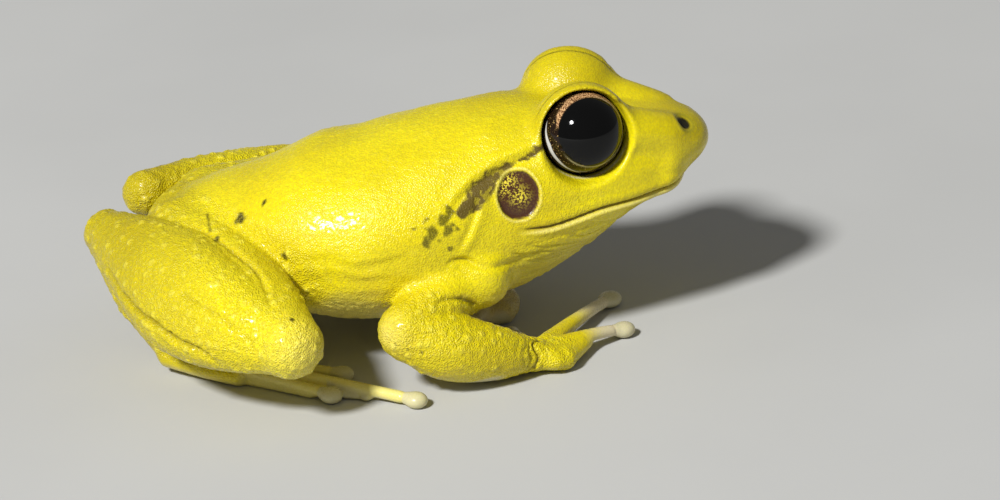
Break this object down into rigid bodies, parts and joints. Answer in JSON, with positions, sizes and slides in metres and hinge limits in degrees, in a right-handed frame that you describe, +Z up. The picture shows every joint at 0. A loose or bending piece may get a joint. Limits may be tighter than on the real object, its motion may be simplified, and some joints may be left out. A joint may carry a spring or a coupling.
{
  "type": "stony creek frog",
  "caption": "Life-size still model of a sitting stony creek frog in bright yellow breeding colour, head raised, with large dark eyes and pale toe discs.",
  "frame": {"origin": "on the floor under the middle of the frog's overall box", "axes": "+X towards the snout, +Y towards the frog's left, +Z up"},
  "size_m": [0.047, 0.0414, 0.0203],
  "materials": {
    "skin": "moist granular skin, bright yellow with pale belly and discs",
    "eye": "polished, black pupil in a dark copper iris"
  },
  "bodies": {
    "root": {"head": "skin", "torso": "skin", "tympanum_right": "skin", "tympanum_left": "skin", "upper_arm_right": "skin", "upper_arm_left": "skin", "forearm_right": "skin", "forearm_left": "skin", "hand_right": "skin", "hand_left": "skin", "thigh_right": "skin", "thigh_left": "skin", "shank_right": "skin", "shank_left": "skin", "tarsus_right": "skin", "tarsus_left": "skin", "foot_right": "skin", "foot_left": "skin", "eye_right": "eye", "eye_left": "eye"}
  },
  "joints": []
}
